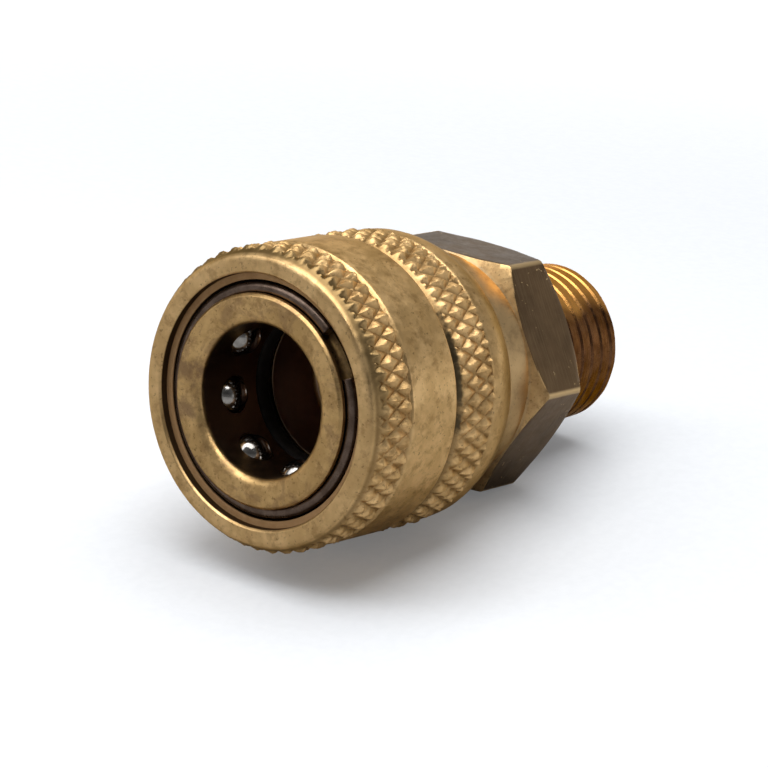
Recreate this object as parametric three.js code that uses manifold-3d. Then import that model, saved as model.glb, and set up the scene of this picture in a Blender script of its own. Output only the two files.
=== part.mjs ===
// Straight-through ball-lock quick disconnect coupler (the female half, a socket), lying on its side.
// Millimetres, +Z up. +X runs along the coupler's axis, from the socket mouth to the threaded end.
// "Station" is the distance along the axis from the nose face; the origin is half way along the part.
import * as THREE from 'three';
import { mergeVertices } from 'three/addons/utils/BufferGeometryUtils.js';
import Module from 'manifold-3d';

const wasm = await Module();
wasm.setup();

// ---- driving dimensions ----------------------------------------------------------------------
const overallLength = 39.2;
const roundSegments = 48; // facets round every turned piece
const runningGap = 0.1; // radial clearance between pieces that slide or turn

// socket bore and nose
const boreRadius = 6.05; // takes a 12 mm plug
const boreLipRadius = 0.7; // rounded lead-in at the mouth
const noseRadius = 8.42;
const noseChamfer = 0.25;
const boreEnd = 14; // station where the plug bore starts to narrow
const passageStart = 15.6;
const passageRadius = 3.8;

// locking balls, in radial holes through the nose
const ballCount = 8;
const ballRadius = 1.5875; // 1/8 inch
const ballStation = 4.3;
const ballProtrusion = 0.95; // how far a seated ball stands into the bore
const ballPhase = -14.5; // degrees from +Y towards +Z, of the first ball
const ballHoleRadius = ballRadius + 0.08;
const ballSeatRadius = 1.52; // the hole narrows to this, so the ball can't fall into the bore

// O-ring and its groove inside the bore
const oRingStation = 8;
const oRingWireRadius = 0.9;
const oRingMeanRadius = boreRadius + 0.65;
const oRingGrooveHalfWidth = 1.0;
const oRingGrooveRadius = oRingMeanRadius + oRingWireRadius + runningGap;

// round-wire retaining ring in its groove round the nose
const ringWireRadius = 0.6;
const ringGrooveStation = 1.2;
const ringGrooveMeanRadius = 8.55;
const ringGrooveWireRadius = ringWireRadius + 0.1;
const ringMeanRadius = 8.68;
const ringGapCentre = 141.3; // degrees from +Y towards +Z
const ringGapWidth = 26;

// sleeve
const sleeveLength = 18;
const sleeveTravel = 3.5; // how far it pulls back
const knurlRadius = 12.05;
const bandRadius = 11.95;
const grooveRadius = 11.35;
const landRadius = noseRadius + runningGap;
const landEnd = 6.5; // the spring pushes on this shoulder
const pocketRadius = 9.55;

// spring pocket and rear collar
const collarRadius = pocketRadius - 0.15;
const collarStart = 16.5;
const springWireRadius = 0.42;
const springMeanRadius = (landRadius + pocketRadius) / 2;
const springTurns = 5.5;
const springEndGap = 0.1;

// hex and male tapered thread
const hexAcrossFlats = 19.05; // 3/4 inch
const hexCornerRadius = hexAcrossFlats / Math.sqrt(3);
const hexChamferStart = 22.35; // station where the front chamfer leaves the collar
const hexFront = 23.27; // the corners start here
const hexRear = 27.5;
const hexRearFace = 28.42;
const threadLargeRadius = 6.93;
const threadSmallRadius = 6.61;
const threadNeckRadius = 6.3;
const threadPitch = 25.4 / 18; // 1/4-18 pipe thread
const threadTurns = 6;
const threadDepth = 0.75;
const threadEndChamfer = 0.83;
const threadEnd = overallLength - threadEndChamfer; // station of the last crest
const threadStart = threadEnd - threadTurns * threadPitch;

const ballSeatCentre = boreRadius - ballProtrusion + ballRadius; // from the axis, when seated
const ballTravel = ballProtrusion; // outwards, until the bore is clear
const rampFront = 1.75; // station where the sleeve's ring seat meets its ball ramp
const ledgeStation = 0.8; // flat ledge just inside the sleeve's mouth, round the ring
const ledgeRadius = 9.38;
const rampSlope = ballTravel / sleeveTravel;
const rampOffset = (ballRadius + 0.08) * Math.hypot(1, rampSlope);
const rampRadiusAt = (station) => ballSeatCentre + rampOffset + rampSlope * (ballStation - station);

// ---- materials -------------------------------------------------------------------------------
const brass = new THREE.MeshStandardMaterial({ color: 0xb29464, roughness: 0.42, metalness: 1 });
const darkBrass = new THREE.MeshStandardMaterial({ color: 0x9c7c4c, roughness: 0.45, metalness: 1 });
const ringSteel = new THREE.MeshStandardMaterial({ color: 0x77716c, roughness: 0.4, metalness: 1 });
const springSteel = new THREE.MeshStandardMaterial({ color: 0x9a9a9c, roughness: 0.35, metalness: 1 });
const ballSteel = new THREE.MeshStandardMaterial({ color: 0xc8c8cc, roughness: 0.12, metalness: 1 });
const rubber = new THREE.MeshStandardMaterial({ color: 0x17171a, roughness: 0.7, metalness: 0 });

// ---- helpers ---------------------------------------------------------------------------------
const radians = (degrees) => THREE.MathUtils.degToRad(degrees);

// A body of revolution about the coupler's axis. The profile is a list of [station, radius].
function turned(profile, segments = roundSegments) {
  const points = profile.map(([station, radius]) => new THREE.Vector2(radius, station));
  const signedArea = points.reduce((sum, p, i) => {
    const next = points[(i + 1) % points.length];
    return sum + p.x * next.y - next.x * p.y;
  }, 0);
  if (signedArea < 0) points.reverse();
  const onAxis = points[0].x === 0;
  const outline = onAxis ? points : [...points, points[0].clone()];
  return new THREE.LatheGeometry(outline, segments).rotateZ(-Math.PI / 2);
}

// Points on an arc in the [station, radius] plane, from one angle to another in degrees.
function arc(centreStation, centreRadius, arcRadius, from, to, steps) {
  return Array.from({ length: steps + 1 }, (_, i) => {
    const angle = radians(from + ((to - from) * i) / steps);
    return [centreStation + arcRadius * Math.cos(angle), centreRadius + arcRadius * Math.sin(angle)];
  });
}

function toSolid(geometry) {
  const bare = geometry.clone();
  bare.deleteAttribute('normal');
  bare.deleteAttribute('uv');
  const merged = mergeVertices(bare, 1e-4);
  return new wasm.Manifold(new wasm.Mesh({
    numProp: 3,
    vertProperties: new Float32Array(merged.attributes.position.array),
    triVerts: new Uint32Array(merged.index.array),
  }));
}

function toGeometry(solid) {
  const mesh = solid.getMesh();
  const geometry = new THREE.BufferGeometry();
  geometry.setAttribute('position', new THREE.BufferAttribute(new Float32Array(mesh.vertProperties), 3));
  geometry.setIndex(new THREE.BufferAttribute(new Uint32Array(mesh.triVerts), 1));
  geometry.computeVertexNormals();
  return geometry;
}

// A closed wire along a curve, round in section.
function wire(curve, wireRadius, steps, sides) {
  const section = new THREE.Shape();
  for (let i = 0; i < sides; i += 1) {
    const angle = (i / sides) * Math.PI * 2;
    const x = wireRadius * Math.cos(angle);
    const y = wireRadius * Math.sin(angle);
    if (i === 0) section.moveTo(x, y);
    else section.lineTo(x, y);
  }
  section.closePath();
  return new THREE.ExtrudeGeometry(section, { steps, extrudePath: curve, bevelEnabled: false });
}

// ---- body: nose, collar, hex and tapered thread in one piece of brass ------------------------
function turnedBodyOutline() {
  const grooveRise = noseRadius - ringGrooveMeanRadius;
  const grooveMouth = Math.sqrt(ringGrooveWireRadius ** 2 - grooveRise ** 2);
  const mouthAngle = THREE.MathUtils.radToDeg(Math.atan2(grooveRise, grooveMouth));
  const crestRadius = (turn) => THREE.MathUtils.mapLinear(
    turn, 0, threadTurns, threadLargeRadius, threadSmallRadius);
  const thread = Array.from({ length: threadTurns }, (_, turn) => [
    [threadStart + turn * threadPitch, crestRadius(turn)],
    [threadStart + (turn + 0.5) * threadPitch, crestRadius(turn + 0.5) - threadDepth],
  ]).flat();
  return [
    [0, 0],
    [0, noseRadius - noseChamfer],
    [noseChamfer, noseRadius],
    ...arc(ringGrooveStation, ringGrooveMeanRadius, ringGrooveWireRadius,
      180 - mouthAngle, 360 + mouthAngle, 6),
    [collarStart, noseRadius],
    [collarStart, collarRadius - 0.2],
    [collarStart + 0.2, collarRadius],
    [hexChamferStart, collarRadius],
    [hexFront + 1, collarRadius],
    [hexFront + 1, threadNeckRadius],
    [threadStart - 0.4, threadNeckRadius],
    ...thread,
    [threadEnd, threadSmallRadius],
    [overallLength, threadSmallRadius - threadEndChamfer],
    [overallLength, 0],
  ];
}

function hexSolid() {
  const outline = new THREE.Shape();
  for (let i = 0; i < 6; i += 1) {
    const angle = radians(90 + 60 * i);
    const x = hexCornerRadius * Math.cos(angle);
    const y = hexCornerRadius * Math.sin(angle);
    if (i === 0) outline.moveTo(x, y);
    else outline.lineTo(x, y);
  }
  outline.closePath();
  const depth = hexRearFace - hexChamferStart;
  const prism = new THREE.ExtrudeGeometry(outline, { depth, bevelEnabled: false });
  prism.rotateY(Math.PI / 2).translate(hexChamferStart, 0, 0);
  const chamfers = turned([
    [hexChamferStart, 0],
    [hexChamferStart, collarRadius],
    [hexFront, hexCornerRadius],
    [hexRear, hexCornerRadius],
    [hexRearFace, collarRadius],
    [hexRearFace, 0],
  ], 2 * roundSegments);
  return toSolid(prism).intersect(toSolid(chamfers));
}

function throughBore() {
  return turned([
    [-1, 0],
    [-1, boreRadius + boreLipRadius],
    ...arc(boreLipRadius, boreRadius + boreLipRadius, boreLipRadius, 180, 270, 4),
    [oRingStation - oRingGrooveHalfWidth, boreRadius],
    [oRingStation - oRingGrooveHalfWidth, oRingGrooveRadius],
    [oRingStation + oRingGrooveHalfWidth, oRingGrooveRadius],
    [oRingStation + oRingGrooveHalfWidth, boreRadius],
    [boreEnd, boreRadius],
    [passageStart, passageRadius],
    [overallLength - 0.4, passageRadius],
    [overallLength, passageRadius + 0.4],
    [overallLength + 1, passageRadius + 0.4],
    [overallLength + 1, 0],
  ]);
}

// A tool along the ball's radial path: narrow at the bore, then straight out through the nose.
function ballHole(index) {
  const tool = new THREE.LatheGeometry([
    new THREE.Vector2(0, boreRadius - 0.6),
    new THREE.Vector2(ballSeatRadius, boreRadius - 0.6),
    new THREE.Vector2(ballSeatRadius, boreRadius),
    new THREE.Vector2(ballHoleRadius, ballSeatCentre),
    new THREE.Vector2(ballHoleRadius, noseRadius + 0.5),
    new THREE.Vector2(0, noseRadius + 0.5),
  ], 20);
  return toSolid(tool.rotateX(ballAngle(index)).translate(ballStation, 0, 0));
}

function ballAngle(index) {
  return radians(ballPhase + (index * 360) / ballCount);
}

function bodyGeometry() {
  let solid = toSolid(turned(turnedBodyOutline())).add(hexSolid()).subtract(toSolid(throughBore()));
  for (let i = 0; i < ballCount; i += 1) solid = solid.subtract(ballHole(i));
  return toGeometry(solid);
}

// ---- sleeve ----------------------------------------------------------------------------------
function sleeveGeometry() {
  return turned([
    // outside, from the front rim back
    [0, 10.15],
    [0, 11.15],
    [0.1, 11.38],
    [0.35, 11.55],
    [1.05, knurlRadius],
    [4.15, knurlRadius],
    [4.2, bandRadius - 0.3],
    [4.4, bandRadius - 0.3],
    [4.5, bandRadius],
    [9.8, bandRadius],
    [9.9, grooveRadius],
    [10.1, grooveRadius],
    [10.9, knurlRadius],
    [14.6, knurlRadius],
    [14.8, bandRadius - 0.1],
    [16, bandRadius - 0.1],
    [sleeveLength - 0.25, 11.1],
    [sleeveLength, 10.8],
    // inside, from the rear forward: spring pocket, ball land, ball ramp, ring seat, mouth
    [sleeveLength, pocketRadius + 0.25],
    [sleeveLength - 0.25, pocketRadius],
    [landEnd, pocketRadius],
    [landEnd, landRadius],
    [ballStation - 0.35, landRadius],
    [rampFront, rampRadiusAt(rampFront)],
    [rampFront - 0.3, ledgeRadius],
    [ledgeStation + 0.1, ledgeRadius],
    [ledgeStation, ledgeRadius + 0.08],
    [ledgeStation, 9.93],
    [0.2, 9.97],
    [0.1, 10.02],
  ]);
}

// ---- spring between the sleeve's shoulder and the collar -------------------------------------
class SpringCurve extends THREE.Curve {
  // The first and last turns close up, as on a compression spring with closed ends.
  getPoint(t, target = new THREE.Vector3()) {
    const first = landEnd + springWireRadius + springEndGap;
    const last = collarStart - springWireRadius - springEndGap;
    const closedTurn = springWireRadius * 2.1;
    const turn = t * springTurns;
    const openTurns = springTurns - 2;
    const openPitch = (last - first - 2 * closedTurn) / openTurns;
    const station = first + closedTurn * (Math.min(turn, 1) + Math.max(turn - springTurns + 1, 0))
      + openPitch * THREE.MathUtils.clamp(turn - 1, 0, openTurns);
    const angle = turn * Math.PI * 2;
    return target.set(station, springMeanRadius * Math.cos(angle), springMeanRadius * Math.sin(angle));
  }
}

// ---- retaining ring --------------------------------------------------------------------------
class RingCurve extends THREE.Curve {
  getPoint(t, target = new THREE.Vector3()) {
    const angle = radians(ringGapCentre + ringGapWidth / 2 + t * (360 - ringGapWidth));
    const y = ringMeanRadius * Math.cos(angle);
    return target.set(ringGrooveStation, y, ringMeanRadius * Math.sin(angle));
  }
}

function oRingGeometry() {
  const section = arc(oRingStation, oRingMeanRadius, oRingWireRadius, 0, 360, 8);
  section.pop();
  return turned(section, 40);
}

// ---- assembly --------------------------------------------------------------------------------
const coupler = new THREE.Group();
coupler.position.x = -overallLength / 2;

function addPiece(name, geometry, material) {
  const mesh = new THREE.Mesh(geometry, material);
  mesh.name = name;
  coupler.add(mesh);
  return mesh;
}

addPiece('body', bodyGeometry(), darkBrass);
addPiece('sleeve', sleeveGeometry(), brass);
addPiece('retaining_ring', wire(new RingCurve(), ringWireRadius, 44, 8), ringSteel);
addPiece('sleeve_spring', wire(new SpringCurve(), springWireRadius, 110, 6), springSteel);
addPiece('o_ring', oRingGeometry(), rubber);
for (let i = 0; i < ballCount; i += 1) {
  const ball = addPiece(`ball_${i + 1}`, new THREE.SphereGeometry(ballRadius, 16, 10), ballSteel);
  ball.position.set(
    ballStation, ballSeatCentre * Math.cos(ballAngle(i)), ballSeatCentre * Math.sin(ballAngle(i)));
}

export default coupler;
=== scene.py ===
"""Looks for a brass ball-lock quick disconnect coupler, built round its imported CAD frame.

Lengths below are millimetres unless a name says otherwise. "Station" is the distance along the
coupler's axis from its nose face, and angles run round that axis from +Y towards +Z.
"""

import math

import bmesh
import bpy
import numpy as np
from mathutils import Matrix, Vector


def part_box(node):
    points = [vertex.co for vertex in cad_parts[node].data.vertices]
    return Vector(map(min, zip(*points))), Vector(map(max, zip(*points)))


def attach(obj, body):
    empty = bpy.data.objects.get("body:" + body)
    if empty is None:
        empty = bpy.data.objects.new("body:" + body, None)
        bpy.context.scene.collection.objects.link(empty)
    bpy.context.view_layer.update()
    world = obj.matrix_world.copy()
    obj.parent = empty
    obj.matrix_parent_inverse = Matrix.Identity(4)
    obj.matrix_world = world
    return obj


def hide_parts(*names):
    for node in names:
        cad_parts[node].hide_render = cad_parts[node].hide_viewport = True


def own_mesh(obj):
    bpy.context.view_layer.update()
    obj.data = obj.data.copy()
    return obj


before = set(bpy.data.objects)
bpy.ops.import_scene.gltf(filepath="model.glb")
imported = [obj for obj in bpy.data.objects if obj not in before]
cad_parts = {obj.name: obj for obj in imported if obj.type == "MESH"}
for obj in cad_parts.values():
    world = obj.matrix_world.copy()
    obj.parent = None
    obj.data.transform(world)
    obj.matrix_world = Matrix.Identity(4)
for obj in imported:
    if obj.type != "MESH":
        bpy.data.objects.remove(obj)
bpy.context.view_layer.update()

MM = 0.001
TURN = 2 * math.pi

# ---- sizes read from the frame ------------------------------------------------------------------
body_low, body_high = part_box("body")
sleeve_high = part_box("sleeve")[1]
ring_low, ring_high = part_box("retaining_ring")
seal_low, seal_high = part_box("o_ring")
spring_low, spring_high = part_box("sleeve_spring")
NOSE_X = body_low.x
OVERALL = (body_high.x - body_low.x) / MM
KNURL_RADIUS = round(sleeve_high.z / MM, 2)
RING_WIRE = 0.6
RING_STATION = round(((ring_low.x + ring_high.x) / 2 - NOSE_X) / MM, 2)
SEAL_STATION = ((seal_low.x + seal_high.x) / 2 - NOSE_X) / MM
SEAL_WIRE = (seal_high.x - seal_low.x) / 2 / MM
SPRING_START = (spring_low.x - NOSE_X) / MM
SPRING_END = (spring_high.x - NOSE_X) / MM

# ---- sizes that the frame's boxes don't give ----------------------------------------------------
BORE_RADIUS = 6.05
BORE_LIP = 0.7
BORE_LIP_WIDTH = 1.15
BORE_END = 14.0
PASSAGE_START = 15.6
PASSAGE_RADIUS = 3.8
NOSE_RADIUS = 8.42
COLLAR_START = 16.5
COLLAR_RADIUS = 9.4
COLLAR_END = 21.6
RING_MEAN = 8.68
RING_GAP_CENTRE = 141.3
RING_GAP = 26.0
RING_GROOVE_MEAN = 8.55
RING_GROOVE_WIRE = 0.7
SEAL_MEAN = 6.7
SEAL_GROOVE = 7.7
BALLS = 8
BALL_RADIUS = 1.5875
BALL_HOLE = 1.6675
BALL_HOLE_MOUTH = 1.5
BALL_HOLE_SIDES = 144
SPRING_MEAN = 9.035
SPRING_WIRE = 0.42
SPRING_TURNS = 5.5
BAND_RADIUS = 11.95
BAND_END = 9.84
BAND_GROOVE_RADIUS = 11.34
LEDGE_STATION = 0.8
LEDGE_RADIUS = 9.38
LAND_START = 3.95
LAND_RADIUS = 8.52
POCKET_START = 6.5
POCKET_RADIUS = 9.55
SLEEVE_END = 18
HEX_APOTHEM = 9.525
HEX_CORNER = 10.93
HEX_CHAMFER_START = 22.35
HEX_REAR_FACE = 28.42
CHAMFER_RUN = 0.575
NECK_RADIUS = 6.3
THREAD_PITCH = 25.4 / 18
THREAD_DEPTH = 0.26
THREAD_LARGE = 6.93
THREAD_SMALL = 6.61
THREAD_END_CHAMFER = 0.83
THREAD_START = OVERALL - THREAD_END_CHAMFER - 6 * THREAD_PITCH
THREAD_BLEND = 0.9
THREAD_STEPS = 14

KNURL_TEETH = 52
KNURL_STEPS = 14
KNURL_DEPTH = 0.46
KNURL_PHASE = 176.45
KNURL_AXIAL_PITCH = TURN * KNURL_RADIUS / KNURL_TEETH / math.tan(math.radians(30))
FRONT_KNURL = (0.35, 4.12)
FRONT_KNURL_TOOTH = 1.44
REAR_KNURL = (10.15, 14.58)
REAR_KNURL_TOOTH = 11.28

RESTING_STATION = 16.0
RESTING_RADIUS = 11.85
HEX_REST_STATION = 28.3

SHARP_EDGE = 32


# ---- mesh tools ---------------------------------------------------------------------------------
def waves(points, wavelength, seed, count=24):
    """Smooth repeatable noise, about -1 to 1: a sum of sine waves in random directions."""
    rng = np.random.default_rng(seed)
    directions = rng.normal(size=(count, 3))
    directions /= np.linalg.norm(directions, axis=1)[:, None]
    scales = TURN / wavelength * rng.uniform(0.6, 1.5, count)
    shifts = rng.uniform(0, TURN, count)
    total = np.zeros(points.shape[:-1])
    for direction, scale, shift in zip(directions, scales, shifts):
        total += np.sin(points @ direction * scale + shift)
    return total / math.sqrt(count / 2) / 2


def rounded(corners, steps=4):
    """A profile of (station, radius) points from corners of (station, radius, fillet)."""
    out = []
    count = len(corners)
    for i, (station, radius, fillet) in enumerate(corners):
        here = np.array([station, radius])
        if fillet == 0 or i in (0, count - 1):
            out.append(here)
            continue
        before = np.array(corners[i - 1][:2]) - here
        after = np.array(corners[i + 1][:2]) - here
        reach = min(fillet, 0.45 * np.linalg.norm(before), 0.45 * np.linalg.norm(after))
        start = here + before / np.linalg.norm(before) * reach
        end = here + after / np.linalg.norm(after) * reach
        for t in np.linspace(0, 1, steps + 1):
            out.append((1 - t) ** 2 * start + 2 * t * (1 - t) * here + t**2 * end)
    return [tuple(p) for p in out]


def rings(profile, columns):
    """Rows of stations and radii, the same all the way round."""
    flat = np.array(profile, float)
    return [(np.full(columns, s), np.full(columns, r)) for s, r in flat]


def place(stations, radii, angles):
    """Points in the row frame, in metres."""
    x = NOSE_X + stations * MM
    return np.stack([x, radii * np.cos(angles) * MM, radii * np.sin(angles) * MM], -1)


def add_object(name, data):
    made = bpy.data.objects.new(name, data)
    bpy.context.scene.collection.objects.link(made)
    return made


def finish_mesh(mesh, name, material, sharp=SHARP_EDGE):
    """A piece from a mesh, shaded smooth but for the edges that turn by more than sharp degrees."""
    mesh.update()
    mesh.shade_smooth()
    mesh.set_sharp_from_angle(angle=math.radians(sharp))
    mesh.materials.append(material)
    return add_object(name, mesh)


def clean(mesh, weld=2e-7):
    """Joins points that coincide, drops what has no area and turns every face outwards."""
    work = bmesh.new()
    work.from_mesh(mesh)
    bmesh.ops.remove_doubles(work, verts=work.verts, dist=weld)
    bmesh.ops.dissolve_degenerate(work, edges=work.edges, dist=weld / 2)
    bmesh.ops.recalc_face_normals(work, faces=work.faces)
    work.to_mesh(mesh)
    work.free()


def grid_mesh(name, rows, angles):
    """A closed turned shape from rows of (stations, radii). Each row goes once round, and the last
    row joins the first. Quads split along the diagonal that lies deeper, so grooves stay sharp."""
    stations = np.array([row[0] for row in rows])
    radii = np.array([row[1] for row in rows])
    points = place(stations, radii, angles[None, :])
    count, columns = stations.shape
    index = np.arange(count * columns).reshape(count, columns)
    a = index[:, :-1]
    b = index[:, 1:]
    c = np.roll(index, -1, axis=0)[:, 1:]
    d = np.roll(index, -1, axis=0)[:, :-1]
    flat = radii.ravel()
    along = (flat[a] + flat[c] <= flat[b] + flat[d])[..., None]
    first = np.where(along, np.stack([a, b, c], -1), np.stack([a, b, d], -1))
    second = np.where(along, np.stack([a, c, d], -1), np.stack([b, c, d], -1))
    triangles = np.concatenate([first.reshape(-1, 3), second.reshape(-1, 3)])
    mesh = bpy.data.meshes.new(name)
    mesh.vertices.add(points.size // 3)
    mesh.vertices.foreach_set("co", points.astype(np.float32).ravel())
    mesh.loops.add(triangles.size)
    mesh.loops.foreach_set("vertex_index", triangles.astype(np.int32).ravel())
    mesh.polygons.add(len(triangles))
    mesh.polygons.foreach_set("loop_start", np.arange(0, triangles.size, 3, dtype=np.int32))
    mesh.update(calc_edges=True)
    clean(mesh)
    return mesh


def skin(work, loops):
    """Faces between loops of vertices in turn, with the two ends capped."""
    sides = len(loops[0])
    for loop, following in zip(loops, loops[1:]):
        for j in range(sides):
            k = (j + 1) % sides
            work.faces.new((loop[j], loop[k], following[k], following[j]))
    work.faces.new(loops[0][::-1])
    work.faces.new(loops[-1])


def wire_mesh(name, path, radius, sides):
    """A round wire along a list of points in metres, with flat ends."""
    path = np.array(path, float)
    tangents = np.gradient(path, axis=0)
    tangents /= np.linalg.norm(tangents, axis=1)[:, None]
    axis = np.array([1.0, 0.0, 0.0])
    sideways = np.cross(tangents, axis)
    sideways /= np.linalg.norm(sideways, axis=1)[:, None]
    upward = np.cross(sideways, tangents)
    turns = np.linspace(0, TURN, sides, endpoint=False)
    circle = np.cos(turns)[None, :, None] * sideways[:, None]
    circle = circle + np.sin(turns)[None, :, None] * upward[:, None]
    points = path[:, None] + circle * radius
    work = bmesh.new()
    skin(work, [[work.verts.new(p) for p in loop] for loop in points])
    bmesh.ops.recalc_face_normals(work, faces=work.faces)
    mesh = bpy.data.meshes.new(name)
    work.to_mesh(mesh)
    work.free()
    return mesh


def stretch(values, low, high):
    """0 below low, 1 above high and smooth between."""
    t = np.clip((values - low) / (high - low), 0, 1)
    return t * t * (3 - 2 * t)


# ---- materials ----------------------------------------------------------------------------------
class Finish:
    """One metal or rubber material, put together from a few noise layers."""

    def __init__(self, name, metallic=1.0, specular=0.5, edge=(1, 1, 1)):
        self.material = bpy.data.materials.new(name)
        self.material.use_nodes = True
        self.tree = self.material.node_tree
        self.shader = self.tree.nodes["Principled BSDF"]
        self.shader.inputs["Metallic"].default_value = metallic
        self.shader.inputs["Specular IOR Level"].default_value = specular
        self.shader.inputs["Specular Tint"].default_value = (*edge, 1)
        self.place = self.node("ShaderNodeTexCoord").outputs["Object"]
        parts = self.node("ShaderNodeSeparateXYZ", Vector=self.place)
        self.along = parts.outputs["X"]
        self.height = parts.outputs["Z"]
        flat = self.node("ShaderNodeCombineXYZ", Y=parts.outputs["Y"], Z=parts.outputs["Z"])
        self.radius = self.node("ShaderNodeVectorMath", "LENGTH", Vector=flat.outputs[0]).outputs["Value"]
        self.bumps = None

    def node(self, kind, operation=None, **inputs):
        made = self.tree.nodes.new(kind)
        if operation:
            made.operation = operation
        for name, value in inputs.items():
            numbered = name[0] == "i" and name[1:].isdigit()
            self.put(made.inputs[int(name[1:]) if numbered else name], value)
        return made

    def put(self, socket, value):
        if isinstance(value, bpy.types.NodeSocket):
            self.tree.links.new(value, socket)
        else:
            socket.default_value = value

    def math(self, operation, a, b=0.0, clamp=False):
        made = self.node("ShaderNodeMath", operation, i0=a, i1=b)
        made.use_clamp = clamp
        return made.outputs[0]

    def noise(self, size, detail=3.0, rough=0.6, vector=None, distortion=0.0):
        """Cloudy noise, 0 to 1, with blobs of about size millimetres."""
        made = self.node(
            "ShaderNodeTexNoise",
            Vector=vector or self.place,
            Scale=1 / (size * MM),
            Detail=detail,
            Roughness=rough,
            Distortion=distortion,
        )
        return made.outputs["Fac"]

    def ramp(self, value, low, high, to_low=0.0, to_high=1.0):
        made = self.node("ShaderNodeMapRange", Value=value)
        made.interpolation_type = "SMOOTHSTEP"
        for name, number in (("From Min", low), ("From Max", high), ("To Min", to_low), ("To Max", to_high)):
            self.put(made.inputs[name], number)
        return made.outputs["Result"]

    def mix(self, factor, first, second):
        made = self.tree.nodes.new("ShaderNodeMix")
        made.data_type = "RGBA"
        self.put(made.inputs[0], factor)
        for socket, value in ((made.inputs[6], first), (made.inputs[7], second)):
            self.put(socket, (*value, 1) if isinstance(value, tuple) and len(value) == 3 else value)
        return made.outputs[2]

    def tint(self, mask, amount, colour, other):
        """The colour, moved by up to amount towards another where the mask is 1."""
        return self.mix(self.math("MULTIPLY", mask, amount), colour, other)

    def between(self, first, last, soft):
        """1 between two stations, 0 outside them."""
        rise = self.ramp(self.along, station_x(first - soft), station_x(first + soft))
        fall = self.ramp(self.along, station_x(last - soft), station_x(last + soft), 1.0, 0.0)
        return self.math("MULTIPLY", rise, fall)

    def near(self, station, radius, degrees, reach):
        """1 at one spot of the surface, fading to 0 within reach millimetres, with a ragged edge."""
        turn = math.radians(degrees)
        spot = (station_x(station), radius * math.cos(turn) * MM, radius * math.sin(turn) * MM)
        away = self.node("ShaderNodeVectorMath", "DISTANCE", i0=self.place, i1=spot).outputs["Value"]
        ragged = self.ramp(self.noise(1.6, 5, 0.7), 0.3, 0.7, -0.5 * reach * MM, 0.5 * reach * MM)
        return self.ramp(self.math("ADD", away, ragged), 0.25 * reach * MM, 1.1 * reach * MM, 1.0, 0.0)

    def turned_vector(self, across=0.06):
        """Coordinates that vary quickly across a lathe's tool marks and slowly along them."""
        across_marks = self.math("ADD", self.along, self.radius)
        squeezed = self.node("ShaderNodeVectorMath", "SCALE", Vector=self.place, Scale=across)
        marks = self.node("ShaderNodeCombineXYZ", X=across_marks).outputs[0]
        return self.node("ShaderNodeVectorMath", "ADD", i0=marks, i1=squeezed.outputs[0]).outputs[0]

    def bump(self, height, distance, strength=1.0):
        made = self.node("ShaderNodeBump", Strength=strength, Distance=distance * MM, Height=height)
        if self.bumps:
            self.tree.links.new(self.bumps, made.inputs["Normal"])
        self.bumps = made.outputs["Normal"]

    def done(self, colour, roughness):
        self.put(self.shader.inputs["Base Color"], colour)
        self.put(self.shader.inputs["Roughness"], roughness)
        if self.bumps:
            self.tree.links.new(self.bumps, self.shader.inputs["Normal"])
        return self.material


def station_x(station):
    return NOSE_X + station * MM


def worn_brass(name, light, dark, brown):
    """Handled brass: light and dark clouds, brown blotches and small dark pits, with fine dents."""
    f = Finish(name, edge=(0.92, 0.72, 0.47))
    colour = f.mix(f.ramp(f.noise(3.0, 4, 0.65), 0.36, 0.64), dark, light)
    blotches = f.ramp(f.noise(1.3, 5, 0.72), 0.48, 0.66)
    colour = f.tint(blotches, 0.6, colour, brown)
    pits = f.ramp(f.noise(0.30, 3, 0.6), 0.60, 0.70)
    colour = f.tint(pits, 0.55, colour, tuple(0.4 * c for c in brown))
    f.bump(f.noise(0.09, 2, 0.5, f.turned_vector()), 0.005, 0.5)
    f.bump(f.noise(0.17, 4, 0.65), 0.014, 0.6)
    f.bump(f.noise(1.2, 4, 0.6), 0.045, 0.5)
    return f, colour


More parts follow.
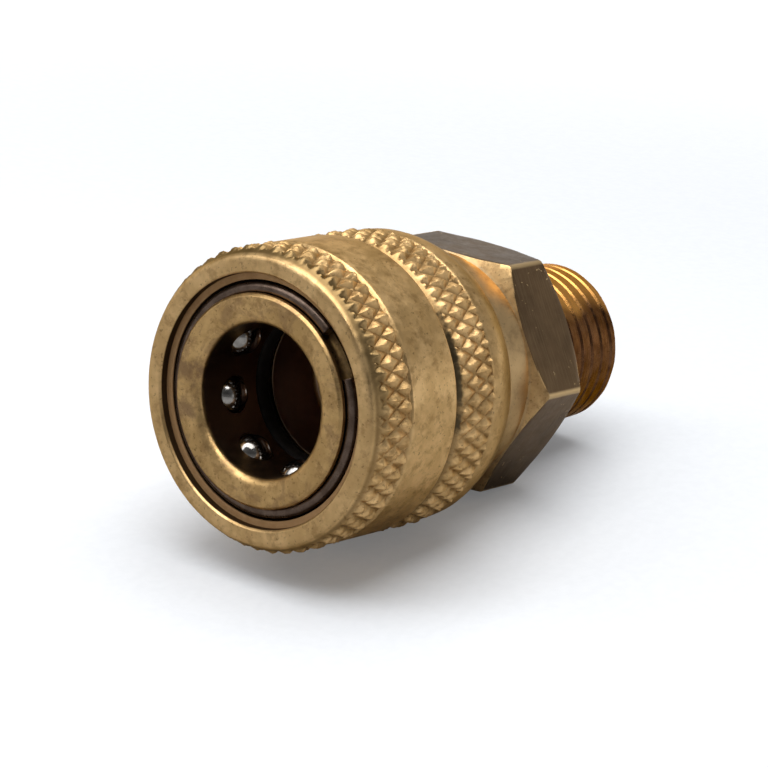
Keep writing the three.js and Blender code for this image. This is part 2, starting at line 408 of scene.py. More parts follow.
def sleeve_brass():
    """Clean on the knurl's points and brown in its grooves (partly tarnished hollows, partly painted shade),
    with painted shade on the front chamfer's top, a painted shadow behind the band and the mouth painted
    nearly black as painted shade.
    """
    f, colour = worn_brass("sleeve_brass", (0.84, 0.575, 0.28), (0.63, 0.415, 0.185), (0.36, 0.215, 0.085))
    # Brown below the knurl's points, on the front chamfer and in the groove behind the band: partly
    # tarnished hollows, partly painted shade.
    grooved = f.ramp(f.radius, (KNURL_RADIUS - 0.50) * MM, (KNURL_RADIUS - 0.08) * MM, 1.0, 0.0)
    behind_face = f.ramp(f.along, station_x(0.25), station_x(0.55))
    outside = f.ramp(f.radius, 11.2 * MM, 11.3 * MM)
    grooves_tarnish_and_shade = f.math("MULTIPLY", grooved, f.math("MULTIPLY", behind_face, outside))
    colour = f.tint(grooves_tarnish_and_shade, 0.72, colour, (0.19, 0.112, 0.045))
    # Painted shade: the front chamfer's upper side painted dark brown.
    upper = f.ramp(f.height, -2 * MM, 5 * MM)
    upper_cone_shade = f.math("MULTIPLY", f.between(0.3, 1.35, 0.25), f.math("MULTIPLY", outside, upper))
    colour = f.tint(upper_cone_shade, 0.80, colour, (0.17, 0.115, 0.050))
    # A painted shadow in the groove behind the band, strongest round one side (about 163 degrees) and fading
    # away from it.
    groove_shadow = f.math("MULTIPLY", f.between(BAND_END, 10.68, 0.10), f.near(10.2, 11.4, 163, 6.0))
    colour = f.tint(groove_shadow, 0.85, colour, (0.050, 0.042, 0.026))
    face = f.math("MULTIPLY", f.ramp(f.along, station_x(0.2), station_x(0.35), 1.0, 0.0), 0.22)
    colour = f.mix(face, colour, (0.30, 0.20, 0.10))
    # Painted shade: the sleeve's interior, behind its front edge, painted nearly black, and made rougher.
    behind_edge = f.ramp(f.along, station_x(0.12), station_x(0.25))
    mouth_shade = f.math("MULTIPLY", f.ramp(f.radius, 10.1 * MM, 10.0 * MM), behind_edge)
    colour = f.tint(mouth_shade, 0.95, colour, (0.030, 0.017, 0.010))
    ledge = f.math("MULTIPLY", f.between(0.75, 0.90, 0.02), f.ramp(f.radius, 9.96 * MM, 9.90 * MM))
    colour = f.tint(ledge, 0.92, colour, (0.50, 0.32, 0.165))
    rough = f.ramp(f.noise(0.8, 4, 0.7), 0.3, 0.7, 0.30, 0.44)
    knurled = f.math("ADD", f.between(1.3, 4.15, 0.1), f.between(10.6, 14.6, 0.1))
    rough = f.math("ADD", rough, f.math("MULTIPLY", knurled, 0.10))
    return f.done(colour, f.math("ADD", rough, f.math("MULTIPLY", mouth_shade, 0.35)))


def nose_brass():
    """The body's nose: matt tan on its face with purple-brown stains; the bore painted nearly black as
    painted shade, and the passage behind the seal painted paler as painted light.
    """
    f, colour = worn_brass("nose_brass", (0.64, 0.425, 0.19), (0.48, 0.31, 0.13), (0.28, 0.165, 0.07))
    stains = f.ramp(f.noise(2.3, 5, 0.7, distortion=0.8), 0.50, 0.62)
    colour = f.tint(stains, 0.42, colour, (0.21, 0.125, 0.075))
    left_stain = f.math("MAXIMUM", f.near(0, 7.15, 4, 1.5), f.near(0, 7.25, 341, 1.1))
    colour = f.tint(left_stain, 0.62, colour, (0.16, 0.095, 0.065))
    # Painted shade: the bore painted nearly black from just behind its lip.
    in_bore = f.ramp(f.radius, (BORE_RADIUS + 0.10) * MM, (BORE_RADIUS + 0.02) * MM)
    bore_shade = f.math("MULTIPLY", f.ramp(f.along, station_x(0.45), station_x(0.95)), in_bore)
    colour = f.tint(bore_shade, 0.95, colour, (0.115, 0.072, 0.050))
    # Painted light: further in, behind the seal, the passage is painted pale brown again.
    passage_glow = f.ramp(f.along, station_x(SEAL_STATION), station_x(SEAL_STATION + 6))
    colour = f.mix(f.math("MULTIPLY", passage_glow, in_bore), colour, (0.58, 0.42, 0.34))
    return f.done(colour, f.ramp(f.noise(0.7, 4, 0.7), 0.3, 0.7, 0.29, 0.44))


def hex_brass():
    """Darker milled flats: olive brown, with fine lines round the hex and a few bright nicks."""
    f = Finish("hex_brass")
    colour = f.mix(f.ramp(f.noise(4.0, 3, 0.6), 0.35, 0.65), (0.138, 0.084, 0.042), (0.188, 0.117, 0.059))
    squeezed = f.node("ShaderNodeMapping", Vector=f.place)
    squeezed.inputs["Scale"].default_value = (1.0, 0.05, 0.05)
    lines = f.noise(0.13, 3, 0.6, squeezed.outputs[0])
    colour = f.mix(f.ramp(lines, 0.40, 0.70, 0.0, 0.30), colour, (0.30, 0.215, 0.115))
    nicks = f.ramp(f.noise(0.7, 2, 0.5, distortion=2.0), 0.725, 0.75)
    corners = f.ramp(f.radius, (HEX_CORNER - 0.12) * MM, (HEX_CORNER - 0.01) * MM)
    colour = f.mix(f.math("MAXIMUM", nicks, corners), colour, (0.66, 0.47, 0.24))
    f.bump(lines, 0.007, 0.5)
    f.bump(nicks, -0.04, 0.6)
    f.bump(f.noise(0.2, 4, 0.65), 0.006, 0.5)
    return f.done(colour, f.ramp(f.noise(0.9, 4, 0.7), 0.3, 0.7, 0.30, 0.42))


def chamfer_brass():
    """The collar and the hex's chamfers: worn tan brass, paler on the collar."""
    f, colour = worn_brass("chamfer_brass", (0.64, 0.43, 0.205), (0.47, 0.30, 0.135), (0.28, 0.165, 0.075))
    collar = f.ramp(f.radius, (COLLAR_RADIUS + 0.25) * MM, (COLLAR_RADIUS + 0.08) * MM)
    colour = f.tint(collar, 0.45, colour, (0.50, 0.37, 0.215))
    return f.done(colour, f.ramp(f.noise(0.8, 4, 0.7), 0.3, 0.7, 0.30, 0.42))


def thread_brass():
    """Coppery brown brass with a painted golden highlight on the upper side, and dark at the roots."""
    f = Finish("thread_brass", edge=(0.88, 0.58, 0.33))
    clouds = f.ramp(f.noise(2.0, 4, 0.65), 0.35, 0.65)
    colour = f.mix(clouds, (0.095, 0.040, 0.020), (0.185, 0.088, 0.045))
    # Painted highlight: golden on the upper side, above a ragged height line, for the light from above.
    edge = f.math("ADD", f.height, f.ramp(f.noise(3.0, 1, 0.5), 0.3, 0.7, -0.8 * MM, 0.8 * MM))
    colour = f.mix(f.ramp(edge, 3.4 * MM, 5.2 * MM), colour, (0.74, 0.37, 0.105))
    streaks = f.ramp(f.noise(0.10, 3, 0.6, f.turned_vector()), 0.45, 0.75, 0.0, 0.4)
    colour = f.mix(streaks, colour, (0.40, 0.215, 0.085))
    roots = f.ramp(f.radius, 6.25 * MM, 6.45 * MM, 0.7, 0.0)
    colour = f.mix(roots, colour, (0.07, 0.028, 0.012))
    f.bump(f.noise(0.10, 2, 0.5, f.turned_vector()), 0.006, 0.5)
    f.bump(f.noise(0.22, 4, 0.65), 0.012, 0.5)
    return f.done(colour, f.ramp(f.noise(0.7, 4, 0.7), 0.3, 0.7, 0.22, 0.36))


def steel(name, dark, light, rough_low, rough_high, grain=0.15):
    """Plain steel in faint clouds, with a fine grain."""
    f = Finish(name)
    colour = f.mix(f.ramp(f.noise(1.1, 4, 0.65), 0.35, 0.65), dark, light)
    f.bump(f.noise(grain, 3, 0.6), 0.004, 0.5)
    return f.done(colour, f.ramp(f.noise(0.5, 4, 0.7), 0.3, 0.7, rough_low, rough_high))


def rubber():
    """Black seal rubber, dull, with a fine skin."""
    f = Finish("seal_rubber", metallic=0.0, specular=0.15)
    colour = f.mix(f.ramp(f.noise(0.8, 4, 0.6), 0.35, 0.65), (0.008, 0.006, 0.005), (0.014, 0.010, 0.008))
    f.bump(f.noise(0.12, 4, 0.7), 0.008, 0.6)
    return f.done(colour, f.ramp(f.noise(0.6, 3, 0.6), 0.3, 0.7, 0.55, 0.75))


# ---- sleeve -------------------------------------------------------------------------------------
def knurl_radius(stations, angles, tooth_station):
    """The knurl's surface: two crossing sets of V grooves that leave four-sided points. The points
    are blunt, worn down unevenly, and the grooves wander a little."""
    turn_phase = (np.degrees(angles) - KNURL_PHASE) * KNURL_TEETH / 360 + 0.5
    axial_phase = (stations - tooth_station) / KNURL_AXIAL_PITCH
    where = place(stations, np.full_like(stations, KNURL_RADIUS), angles) / MM
    left = turn_phase + axial_phase + 0.045 * waves(where, 2.6, 15)
    right = turn_phase - axial_phase + 0.045 * waves(where, 2.6, 16)
    slopes = [1 - np.abs(2 * np.mod(phase, 1) - 1) for phase in (left, right)]
    height = np.clip(np.minimum(*slopes) * 1.06 - 0.04, 0, 1)
    worn = 0.76 + 0.15 * waves(where, 1.5, 11) + 0.08 * waves(where, 0.6, 12)
    blunt = 0.10
    share = np.clip(0.5 + (height - worn) / (2 * blunt), 0, 1)
    height = height * (1 - share) + worn * share - blunt * share * (1 - share)
    sunk = 0.020 * waves(where, 2.2, 13) + 0.036 * waves(where, 0.40, 14)
    return np.minimum(KNURL_RADIUS - KNURL_DEPTH * (0.80 - height) + sunk, KNURL_RADIUS)


def knurled_rows(start, end, tooth_station, envelope, angles):
    """Rows on the knurl's own steps between two stations, cut to the turned envelope."""
    step = KNURL_AXIAL_PITCH / KNURL_STEPS
    first = math.ceil((start - tooth_station) / step + 0.2)
    last = math.floor((end - tooth_station) / step - 0.2)
    found = [start] + [tooth_station + k * step for k in range(first, last + 1)] + [end]
    rows = []
    for station in found:
        stations = np.full(len(angles), station)
        radii = np.minimum(knurl_radius(stations, angles, tooth_station), np.interp(station, *envelope))
        rows.append((stations, radii))
    return rows


def build_sleeve(material):
    columns = KNURL_TEETH * KNURL_STEPS + 1
    angles = math.radians(KNURL_PHASE) + np.linspace(0, TURN, columns)
    wide = len(angles)
    rim = rounded([
        (0.25, 9.96, 0), (0.16, 9.98, 0.05), (0, 10.14, 0.08), (0, 11.0, 0.35), (0.13, 11.32, 0.12),
        (FRONT_KNURL[0], 11.48, 0),
    ], steps=5)
    rows = rings(rim[:-1], wide)
    front_cone = ([FRONT_KNURL[0], 1.25, 1.5], [11.48, KNURL_RADIUS - 0.02, 13])
    rows += knurled_rows(*FRONT_KNURL, FRONT_KNURL_TOOTH, front_cone, angles)
    band = rounded([
        (4.17, 11.70, 0), (4.27, 11.70, 0.05), (4.45, BAND_RADIUS - 0.03, 0.08), (4.8, BAND_RADIUS, 0.2),
        (9.62, BAND_RADIUS, 0.15), (BAND_END, 11.83, 0.12), (9.90, 11.36, 0.1),
        (10.12, BAND_GROOVE_RADIUS, 0),
    ], steps=2)
    rows += rings(band, wide)
    rear_cone = ([REAR_KNURL[0], 11.0, 11.2], [BAND_GROOVE_RADIUS, KNURL_RADIUS - 0.02, 13])
    rows += knurled_rows(*REAR_KNURL, REAR_KNURL_TOOTH, rear_cone, angles)
    rear = rounded([
        (14.62, 11.76, 0), (14.8, 11.83, 0.1), (RESTING_STATION, RESTING_RADIUS, 0.6), (17.6, 11.25, 0.6),
        (SLEEVE_END, 10.75, 0.3), (SLEEVE_END, 9.8, 0.12), (SLEEVE_END - 0.25, POCKET_RADIUS, 0.1),
        (POCKET_START, POCKET_RADIUS, 0.1), (POCKET_START, LAND_RADIUS, 0.12),
        (LAND_START, LAND_RADIUS, 0.3), (1.75, 9.117, 0.05), (1.45, LEDGE_RADIUS, 0.05),
        (LEDGE_STATION, LEDGE_RADIUS, 0.1), (LEDGE_STATION, 9.93, 0.04), (LEDGE_STATION - 0.1, 9.95, 0.02),
    ], steps=2)
    rows += rings(rear, wide)
    for i, (stations, radii) in enumerate(rows):
        where = place(stations, radii, angles) / MM
        wear = 0.012 * waves(where, 4.5, 21) + 0.005 * waves(where, 0.9, 22)
        rows[i] = (stations, radii + np.where(radii > 11, wear, 0))
    mesh = grid_mesh("sleeve_turned", rows, angles)
    piece = finish_mesh(mesh, "sleeve_turned", material, sharp=38)
    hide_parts("sleeve")
    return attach(piece, "sleeve")


# ---- body ---------------------------------------------------------------------------------------
def hex_angles():
    """Column angles: close together at the six corners, even along the flats."""
    near = [0, 0.3, 0.7, 1.2, 1.9, 2.9, 4.2]
    half = near + list(np.arange(6, 30.1, 2.0))
    sector = half + [60 - a for a in half[-2::-1]]
    degrees = [60 * k + a for k in range(6) for a in sector[:-1]] + [360]
    return np.radians(degrees)


def hex_radius(angles):
    """Distance to the hexagon's outline, with its corners slightly rounded."""
    from_flat = np.mod(np.degrees(angles), 60) - 30
    sharp = HEX_APOTHEM / np.cos(np.radians(from_flat))
    blend = 0.10
    share = np.clip(0.5 + (sharp - HEX_CORNER) / (2 * blend), 0, 1)
    return sharp * (1 - share) + HEX_CORNER * share - blend * share * (1 - share)


def hex_rows(angles):
    """Rows for the hex: out along the front chamfer, over the flats and in along the rear chamfer."""
    radius = hex_radius(angles)
    rise = (radius - COLLAR_RADIUS) * CHAMFER_RUN
    front, rear = HEX_CHAMFER_START + rise, HEX_REAR_FACE - rise
    rows = []
    for t in (0.0, 0.04, 0.35, 0.7, 0.955):
        rows.append((HEX_CHAMFER_START + rise * t, COLLAR_RADIUS + (radius - COLLAR_RADIUS) * t))
    soft = 0.06
    for share in np.linspace(0, 1, 14):
        station = front + soft + (rear - front - 2 * soft) * share
        rows.append((station, radius.copy()))
    for t in (0.955, 0.7, 0.35, 0.0):
        rows.append((HEX_REAR_FACE - rise * t, COLLAR_RADIUS + (radius - COLLAR_RADIUS) * t))
    for i, (stations, radii) in enumerate(rows):
        where = place(stations, radii, angles) / MM
        rows[i] = (stations, radii + 0.012 * waves(where, 3.5, 31) + 0.004 * waves(where, 0.8, 32))
    return rows


def thread_radius(stations, angles):
    """A tapered thread with broad crests, fading into the neck and cut back by the end chamfer."""
    taper = (THREAD_LARGE - THREAD_SMALL) / (OVERALL - THREAD_END_CHAMFER - THREAD_START)
    crest = THREAD_LARGE - (stations - THREAD_START) * taper
    phase = np.mod((stations - THREAD_START) / THREAD_PITCH - angles / TURN, 1)
    height = np.clip((1 - np.abs(2 * phase - 1)) * 4.2 - 0.15, 0, 1)
    radius = crest - THREAD_DEPTH * (1 - height)
    fade = stretch(stations, THREAD_START - THREAD_BLEND, THREAD_START + THREAD_BLEND)
    radius = NECK_RADIUS * (1 - fade) + radius * fade
    chamfer = THREAD_SMALL - THREAD_END_CHAMFER + (OVERALL - stations)
    return np.minimum(radius, np.minimum(chamfer, crest))


def thread_rows(angles):
    """Rows that climb with the helix, held back at the thread's two ends."""
    start, end = THREAD_START - THREAD_BLEND, OVERALL - 0.02
    total = math.ceil((end - start) / THREAD_PITCH) + 1
    rows = []
    for k in range(total * THREAD_STEPS + 1):
        base = start - THREAD_PITCH + k * THREAD_PITCH / THREAD_STEPS
        stations = np.clip(base + THREAD_PITCH * (angles - angles[0]) / TURN, start, end)
        radii = thread_radius(stations, angles)
        where = place(stations, radii, angles) / MM
        worn = 0.012 * waves(where, 2.5, 41) + 0.006 * waves(where, 0.6, 42)
        held = (stations > start) & (stations < end)
        rows.append((stations, radii + np.where(held, worn, 0)))
    return rows


def ball_cutter():
    """Eight stepped pins, one along each ball's path, to cut the ball holes."""
    profile = [
        (BORE_RADIUS - 0.8, BALL_HOLE_MOUTH), (BORE_RADIUS + 0.05, BALL_HOLE_MOUTH),
        (BORE_RADIUS + 0.3, BALL_HOLE), (NOSE_RADIUS + 0.6, BALL_HOLE),
    ]
    turns = np.linspace(0, TURN, BALL_HOLE_SIDES, endpoint=False)
    work = bmesh.new()
    for number in range(1, BALLS + 1):
        low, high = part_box(f"ball_{number}")
        centre = (low + high) / 2
        outward = Vector((0, centre.y, centre.z)).normalized()
        across = Vector((1, 0, 0))
        third = outward.cross(across)
        loops = []
        for reach, radius in profile:
            middle = Vector((centre.x, 0, 0)) + outward * (reach * MM)
            loops.append([
                work.verts.new(middle + (across * math.cos(t) + third * math.sin(t)) * (radius * MM))
                for t in turns
            ])
        skin(work, loops)
    bmesh.ops.recalc_face_normals(work, faces=work.faces)
    mesh = bpy.data.meshes.new("ball_cutter")
    work.to_mesh(mesh)
    work.free()
    return add_object("ball_cutter", mesh)


def cut(piece, cutter):
    """Takes the cutter's volume out of the piece and drops the cutter."""
    modifier = piece.modifiers.new("holes", "BOOLEAN")
    modifier.operation = "DIFFERENCE"
    modifier.object = cutter
    modifier.solver = "EXACT"
    depsgraph = bpy.context.evaluated_depsgraph_get()
    result = bpy.data.meshes.new_from_object(piece.evaluated_get(depsgraph))
    piece.modifiers.remove(modifier)
    piece.data = result
    bpy.data.objects.remove(cutter)


def ring_groove_profile():
    """The round-bottomed groove that holds the wire ring."""
    rise = NOSE_RADIUS - RING_GROOVE_MEAN
    edge = math.atan2(rise, math.sqrt(RING_GROOVE_WIRE**2 - rise**2))
    sweep = np.linspace(math.pi - edge, TURN + edge, 13)
    return [
        (RING_STATION + RING_GROOVE_WIRE * math.cos(a), RING_GROOVE_MEAN + RING_GROOVE_WIRE * math.sin(a))
        for a in sweep
    ]


def build_body(materials):
    angles = hex_angles()
    wide = len(angles)
    lip = [
        (BORE_LIP * (1 - math.sin(a)), BORE_RADIUS + BORE_LIP_WIDTH * (1 - math.cos(a)))
        for a in np.radians(np.linspace(0, 90, 13))
    ]
    rows = rings(lip, wide)
    face = rounded([
        (0, 7.3, 0), (0, NOSE_RADIUS - 0.25, 0.08), (0.25, NOSE_RADIUS, 0.08), (0.45, NOSE_RADIUS, 0),
    ])
    rows += rings(face, wide)
    rows += rings(ring_groove_profile(), wide)
    rows += rings(rounded([
        (2.0, NOSE_RADIUS, 0), (6.4, NOSE_RADIUS, 0), (COLLAR_START, NOSE_RADIUS, 0.15),
        (COLLAR_START, 9.2, 0.1), (COLLAR_START + 0.2, COLLAR_RADIUS, 0.1), (COLLAR_END, COLLAR_RADIUS, 0),
    ]), wide)
    rows += hex_rows(angles)
    rows += rings(rounded([
        (HEX_REAR_FACE, 9.3, 0), (HEX_REAR_FACE, NECK_RADIUS, 0.25),
        (THREAD_START - THREAD_BLEND - 0.02, NECK_RADIUS, 0),
    ]), wide)
    rows += thread_rows(angles)
    end_radius = THREAD_SMALL - THREAD_END_CHAMFER
    rows += rings(rounded([
        (OVERALL, end_radius - 0.02, 0), (OVERALL, PASSAGE_RADIUS + 0.4, 0.06),
        (OVERALL - 0.4, PASSAGE_RADIUS, 0.08), (PASSAGE_START, PASSAGE_RADIUS, 0.2),
        (BORE_END, BORE_RADIUS, 0.2), (SEAL_STATION + 1, BORE_RADIUS, 0.1),
        (SEAL_STATION + 1, SEAL_GROOVE, 0.15), (SEAL_STATION - 1, SEAL_GROOVE, 0.15),
        (SEAL_STATION - 1, BORE_RADIUS, 0.1), (BORE_LIP + 0.1, BORE_RADIUS, 0),
    ]), wide)
    mesh = grid_mesh("body_turned", rows, angles)
    piece = finish_mesh(mesh, "body_turned", materials["nose"])
    cut(piece, ball_cutter())
    piece.data.materials.clear()
    names = ["nose", "chamfer", "hex", "thread"]
    for name in names:
        piece.data.materials.append(materials[name])
    paint_body(piece.data)
    piece.data.shade_smooth()
    piece.data.set_sharp_from_angle(angle=math.radians(SHARP_EDGE))
    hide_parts("body")
    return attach(piece, "root")


def paint_body(mesh):
    """Gives each stretch of the body its own finish: 0 nose, 1 chamfers, 2 hex flats, 3 thread."""
    count = len(mesh.polygons)
    centres = np.empty(count * 3)
    normals = np.empty(count * 3)
    mesh.polygons.foreach_get("center", centres)
    mesh.polygons.foreach_get("normal", normals)
    centres, normals = centres.reshape(-1, 3), normals.reshape(-1, 3)
    station = (centres[:, 0] - NOSE_X) / MM
    radius = np.hypot(centres[:, 1], centres[:, 2]) / MM
    outside = radius > NECK_RADIUS - 0.9
    slots = np.zeros(count, np.int32)
    slots[(station > 13) & outside] = 1
    on_hex = (station > HEX_CHAMFER_START) & (station < HEX_REAR_FACE) & outside
    slots[on_hex & (np.abs(normals[:, 0]) < 0.35)] = 2
    slots[(station > HEX_REAR_FACE - 0.01) & (radius < 9.2)] = 3
    mesh.polygons.foreach_set("material_index", slots)


# ---- small pieces -------------------------------------------------------------------------------
def build_ring(material):
    """A sprung wire with a gap, as it sits in its groove."""
    start = RING_GAP_CENTRE + RING_GAP / 2
    turns = np.radians(np.linspace(start, start + 360 - RING_GAP, 240))
    path = place(np.full_like(turns, RING_STATION), np.full_like(turns, RING_MEAN), turns)
    mesh = wire_mesh("retaining_wire", path, RING_WIRE * MM, 28)
    bevel_ends(mesh, 0.07 * MM)
    piece = finish_mesh(mesh, "retaining_wire", material)
    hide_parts("retaining_ring")
    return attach(piece, "ring")


def bevel_ends(mesh, width):
    """Breaks the sharp edges of a wire's two cut ends."""
    work = bmesh.new()
    work.from_mesh(mesh)
    caps = [face for face in work.faces if len(face.verts) > 4]
    edges = {edge for face in caps for edge in face.edges}
    bmesh.ops.bevel(work, geom=list(edges), offset=width, segments=2, profile=0.5, affect="EDGES")
    work.to_mesh(mesh)
    work.free()


def build_spring(material):
    wire = SPRING_WIRE * MM
    first, last = SPRING_START + SPRING_WIRE, SPRING_END - SPRING_WIRE
    closed = SPRING_WIRE * 2.1
    steps = int(SPRING_TURNS * 48)
    turns = np.linspace(0, SPRING_TURNS, steps)
    open_turns = SPRING_TURNS - 2
    pitch = (last - first - 2 * closed) / open_turns
    stations = first + closed * (np.minimum(turns, 1) + np.maximum(turns - SPRING_TURNS + 1, 0))
    stations += pitch * np.clip(turns - 1, 0, open_turns)
    path = place(stations, np.full(steps, SPRING_MEAN), turns * TURN)
    mesh = wire_mesh("sleeve_coil", path, wire, 16)
    bevel_ends(mesh, 0.05 * MM)
    piece = finish_mesh(mesh, "sleeve_coil", material)
    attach(piece, "root")
    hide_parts("sleeve_spring")
    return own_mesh(piece)


def build_seal(material):
    angles = np.linspace(0, TURN, 145)
    section = np.linspace(0, TURN, 40, endpoint=False)
    flash = 0.012 * np.exp(-((np.abs(np.cos(section))) / 0.08) ** 2)
    wire = SEAL_WIRE + flash
    profile = list(zip(SEAL_STATION + wire * np.cos(section), SEAL_MEAN + wire * np.sin(section)))
    mesh = grid_mesh("bore_seal", rings(profile, len(angles)), angles)
    piece = finish_mesh(mesh, "bore_seal", material)
    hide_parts("o_ring")
    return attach(piece, "root")


def build_ball(number, material):
    """A bearing ball: an evenly divided sphere, a hair out of round."""
    low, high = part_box(f"ball_{number}")
    centre = (low + high) / 2
    work = bmesh.new()
    bmesh.ops.create_icosphere(work, subdivisions=5, radius=BALL_RADIUS * MM)
    for vertex in work.verts:
        vertex.co *= 1 - 0.0006 * (vertex.co.z / (BALL_RADIUS * MM)) ** 2
    tilt = Matrix.Rotation(0.7 * number, 4, "Y") @ Matrix.Rotation(1.1 * number, 4, "X")
    bmesh.ops.transform(work, matrix=Matrix.Translation(centre) @ tilt, verts=work.verts)
    name = f"locking_ball_{number}"
    mesh = bpy.data.meshes.new(name)
    work.to_mesh(mesh)
    work.free()
    piece = finish_mesh(mesh, name, material)
    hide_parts(f"ball_{number}")
    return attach(piece, f"ball_{number}")


# ---- stage, lights and camera -------------------------------------------------------------------
def build_floor():
    """A pale sweep that the coupler rests on: on its sleeve's rear edge and its hex's rear edge."""
    slope = (RESTING_RADIUS - HEX_APOTHEM) / (HEX_REST_STATION - RESTING_STATION)
    bend = 0.035
    xs = NOSE_X + np.sinh(np.linspace(-3.2, 3.2, 81)) * 0.06
    half_width = 0.9
    work = bmesh.new()
    previous = None
    contact = station_x(RESTING_STATION)
    for x in xs:
        z = -RESTING_RADIUS * MM + slope * 1.04 * bend * math.tanh((x - contact) / bend) - 0.00003
        edge = (work.verts.new((x, -half_width, z)), work.verts.new((x, half_width, z)))
        if previous:
            work.faces.new((previous[0], edge[0], edge[1], previous[1]))
        previous = edge
    mesh = bpy.data.meshes.new("floor")
    work.to_mesh(mesh)
    work.free()
    mesh.materials.append(floor_paper())
    mesh.shade_smooth()
    add_object("floor", mesh)


def floor_paper():
    """Paper that looks white, but throws less light back at the metal than it shows."""
    f = Finish("floor_paper", metallic=0.0, specular=0.0)
    seen = f.tree.nodes.new("ShaderNodeLightPath").outputs["Is Camera Ray"]
    grain = f.ramp(f.noise(0.9, 3, 0.6), 0.3, 0.7)
    shown = f.mix(grain, (0.635, 0.665, 0.715), (0.655, 0.685, 0.735))
    colour = f.mix(seen, (0.40, 0.40, 0.40), shown)
    f.shader.inputs["Emission Color"].default_value = (1, 1, 1, 1)
    # To the camera the paper also glows, more so further from the coupler: a painted glow that lifts its
    # shadow and whitens the far floor.
    reach = f.node("ShaderNodeVectorMath", "LENGTH", Vector=f.place).outputs["Value"]
    lift = f.ramp(reach, 0.08, 0.36, 0.13, 0.68)
    f.put(f.shader.inputs["Emission Strength"], f.math("MULTIPLY", seen, lift))
    return f.done(colour, 0.9)


def area_light(name, place_m, aim_m, size_m, radiance, colour=(1, 1, 1)):
    """A soft box of one even brightness, pointed at a place."""
    light = bpy.data.lights.new(name, "AREA")
    light.shape = "RECTANGLE"
    light.size, light.size_y = size_m
    light.energy = radiance * math.pi * size_m[0] * size_m[1]
    light.color = colour
    lamp = add_object(name, light)
    lamp.location = place_m
    lamp.rotation_mode = "QUATERNION"
    lamp.rotation_quaternion = (Vector(aim_m) - Vector(place_m)).to_track_quat("-Z", "Y")


def build_lights():
    centre = (0, 0, 0)
    area_light("overhead", (-0.08, 0.0, 0.42), centre, (0.42, 0.52), 3.8, (1, 0.985, 0.955))
    area_light("back_left", (-0.33, 0.26, 0.30), centre, (0.26, 0.26), 2.6)


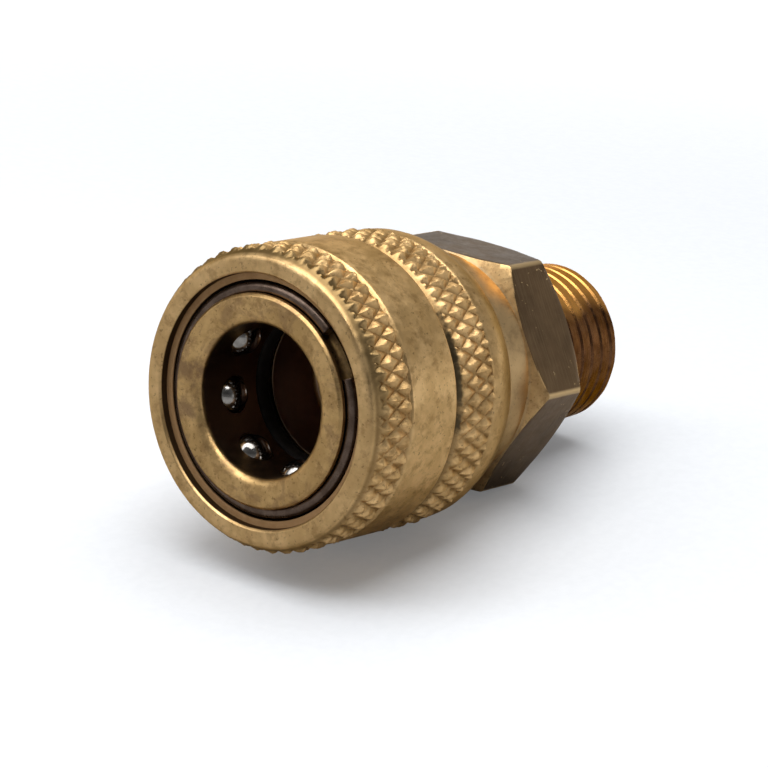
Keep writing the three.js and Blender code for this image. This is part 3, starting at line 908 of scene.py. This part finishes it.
def build_world():
    """White to the eye. What it lights sees a bright horizon under a dim room, dimmest in front,
    with a bright card beside the coupler."""
    world = bpy.data.worlds.new("studio")
    bpy.context.scene.world = world
    world.use_nodes = True
    tree = world.node_tree
    tree.nodes.clear()

    def add(kind, **values):
        node = tree.nodes.new(kind)
        for name, value in values.items():
            node.inputs[name.replace("_", " ")].default_value = value
        return node

    direction = add("ShaderNodeTexCoord").outputs["Generated"]
    parts = add("ShaderNodeSeparateXYZ")
    tree.links.new(direction, parts.inputs[0])
    glow = add("ShaderNodeMapRange", From_Min=0.04, From_Max=0.34, To_Min=0.85, To_Max=0.32)
    glow.interpolation_type = "SMOOTHSTEP"
    tree.links.new(parts.outputs["Z"], glow.inputs["Value"])
    backward = add("ShaderNodeVectorMath")
    backward.operation = "DOT_PRODUCT"
    backward.inputs[1].default_value = (0.77, 0.59, 0.0)
    tree.links.new(direction, backward.inputs[0])
    side = add("ShaderNodeMapRange", From_Min=-0.9, From_Max=0.6, To_Min=0.24, To_Max=1.25)
    tree.links.new(backward.outputs["Value"], side.inputs["Value"])
    level = add("ShaderNodeMath")
    level.operation = "MULTIPLY"
    tree.links.new(glow.outputs["Result"], level.inputs[0])
    tree.links.new(side.outputs["Result"], level.inputs[1])
    beside = add("ShaderNodeVectorMath")
    beside.operation = "DOT_PRODUCT"
    beside.inputs[1].default_value = (0.10, -0.995, 0.0)
    tree.links.new(direction, beside.inputs[0])
    card = add("ShaderNodeMapRange", From_Min=0.80, From_Max=0.97, To_Min=0.0, To_Max=0.75)
    card.interpolation_type = "SMOOTHSTEP"
    tree.links.new(beside.outputs["Value"], card.inputs["Value"])
    total = add("ShaderNodeMath")
    tree.links.new(level.outputs[0], total.inputs[0])
    tree.links.new(card.outputs["Result"], total.inputs[1])
    room = add("ShaderNodeBackground", Color=(1, 0.985, 0.96, 1))
    tree.links.new(total.outputs[0], room.inputs["Strength"])
    seen = add("ShaderNodeBackground", Color=(1, 1, 1, 1), Strength=1.1)
    mix = add("ShaderNodeMixShader")
    tree.links.new(add("ShaderNodeLightPath").outputs["Is Camera Ray"], mix.inputs[0])
    tree.links.new(room.outputs[0], mix.inputs[1])
    tree.links.new(seen.outputs[0], mix.inputs[2])
    tree.links.new(mix.outputs[0], add("ShaderNodeOutputWorld").inputs[0])


def build_camera():
    """A long lens, off the mouth's side and above, rolled to suit the tipped-back coupler."""
    aim = Vector((station_x(6.2), -7.3 * MM, 2.5 * MM))
    azimuth, elevation, roll, distance = -52.6, 15.0, 6.8, 0.268
    a, e = math.radians(azimuth), math.radians(elevation)
    back = Vector((math.sin(a) * math.cos(e), -math.cos(a) * math.cos(e), math.sin(e)))
    lens = bpy.data.cameras.new("camera")
    lens.sensor_width = 36
    lens.lens = 164.06
    lens.clip_start = 0.01
    camera = add_object("camera", lens)
    camera.location = aim + back * distance
    camera.rotation_mode = "QUATERNION"
    turn = (-back).to_track_quat("-Z", "Y")
    tilt = Matrix.Rotation(math.radians(roll), 3, "Z").to_quaternion()
    camera.rotation_quaternion = turn @ tilt
    bpy.context.scene.camera = camera


def main():
    bpy.context.scene.view_settings.view_transform = "Standard"
    build_camera()
    build_world()
    build_lights()
    build_floor()
    build_sleeve(sleeve_brass())
    build_body({
        "nose": nose_brass(), "chamfer": chamfer_brass(), "hex": hex_brass(), "thread": thread_brass(),
    })
    build_ring(steel("ring_steel", (0.100, 0.069, 0.053), (0.160, 0.116, 0.092), 0.26, 0.38))
    build_spring(steel("spring_steel", (0.36, 0.35, 0.34), (0.50, 0.49, 0.48), 0.25, 0.38))
    build_seal(rubber())
    ball_steel = steel("ball_steel", (0.26, 0.25, 0.24), (0.42, 0.41, 0.40), 0.10, 0.20, 0.4)
    for number in range(1, BALLS + 1):
        build_ball(number, ball_steel)


main()
